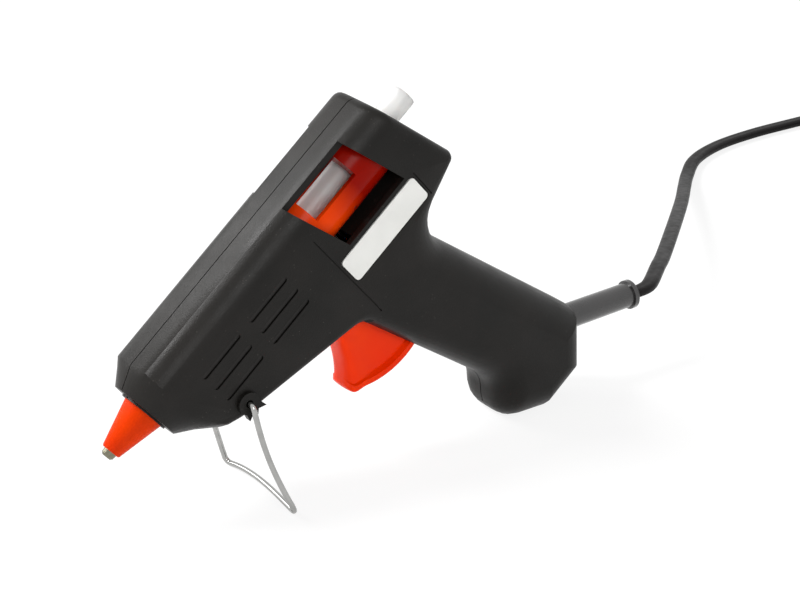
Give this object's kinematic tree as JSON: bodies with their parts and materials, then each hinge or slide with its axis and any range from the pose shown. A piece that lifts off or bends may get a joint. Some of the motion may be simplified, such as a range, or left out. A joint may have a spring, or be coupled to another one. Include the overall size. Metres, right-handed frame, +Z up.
{
  "type": "mini hot glue applicator",
  "caption": "Small mains hot glue gun resting nose down on its wire stand, with an orange trigger, side windows on the stick feed and a coiled cord.",
  "frame": {"origin": "on the floor plane, midway along the gun's length from the nozzle's tip to the end of the strain relief, on its mid plane", "axes": "+X forwards, the way the nozzle points seen from above; +Y to the gun's left; +Z up, with the gun as it rests on its wire stand and the heel of its handle"},
  "size_m": [0.4512, 0.1426, 0.1065],
  "materials": {
    "black_plastic": "fine matte texture",
    "orange_gloss": "glossy moulded",
    "orange_silicone": "soft satin",
    "steel": "bright drawn wire and turned steel",
    "aluminium": "as cast",
    "brass_plated": "nickel plated",
    "ceramic": "fired ceramic",
    "film": "amber film",
    "glue": "translucent waxy",
    "white_label": "satin",
    "grey_silicone": "satin",
    "black_rubber": "satin to glossy",
    "lead_brown": "satin",
    "lead_blue": "satin"
  },
  "bodies": {
    "housing": {"housing_left": "black_plastic", "housing_right": "black_plastic", "housing_screw_1": "steel", "housing_screw_2": "steel", "housing_screw_3": "steel", "housing_screw_4": "steel", "nozzle_tip": "brass_plated", "nozzle_sleeve": "orange_silicone", "melt_chamber": "aluminium", "insulating_film": "film", "electrode_upper": "brass_plated", "electrode_lower": "brass_plated", "ptc_heater": "ceramic", "heater_clip": "steel", "stick_seal": "grey_silicone", "trigger_pin": "steel", "return_spring": "steel", "label_plate": "white_label", "strain_relief": "black_rubber", "cord_clamp": "black_plastic", "clamp_screw_1": "steel", "clamp_screw_2": "steel", "inner_cord": "black_rubber", "live_crimp": "grey_silicone", "live_core": "lead_brown", "live_lead": "lead_brown", "neutral_crimp": "grey_silicone", "neutral_core": "lead_blue", "neutral_lead": "lead_blue", "cord": "black_rubber", "cord_coil": "black_rubber", "coil_tie": "black_rubber", "plug_body": "black_rubber", "plug_pin_1": "steel", "plug_pin_2": "steel"},
    "trigger": {"trigger": "orange_gloss"},
    "carriage": {"feed_carriage": "orange_gloss", "push_pin": "steel", "lever_pin": "steel"},
    "grip": {"grip_lever": "steel"},
    "stick": {"glue_stick": "glue"},
    "stand": {"stand_wire": "steel"}
  },
  "joints": [
    {"name": "trigger_pull", "type": "hinge", "parent": "housing", "child": "trigger", "pos_m": [0.01254, 0, 0.04883], "axis": [0, 1, 0], "range_deg": [0, 22], "stiffness_Nm_per_rad": 0.12, "springref_deg": -14.32},
    {"name": "carriage_feed", "type": "slide", "parent": "housing", "child": "carriage", "axis": [0.766, 0, -0.6428], "range_m": [0, 0.0067], "deforming": ["return_spring"]},
    {"name": "grip_bite", "type": "hinge", "parent": "carriage", "child": "grip", "pos_m": [0.01454, 0, 0.07875], "axis": [0, -1, 0], "range_deg": [0, 4.6]},
    {"name": "stick_load", "type": "slide", "parent": "carriage", "child": "stick", "axis": [0.766, 0, -0.6428], "range_m": [-0.075, 0]},
    {"name": "stand_fold", "type": "hinge", "parent": "housing", "child": "stand", "pos_m": [0.05251, 0, 0.03423], "axis": [0, 1, 0], "range_deg": [-75, 60]}
  ],
  "couplings": [
    {"joint": "trigger_pull", "follows": "carriage_feed", "rad_per_m": 56.497},
    {"joint": "grip_bite", "follows": "carriage_feed", "rad_per_m": 11.299}
  ]
}
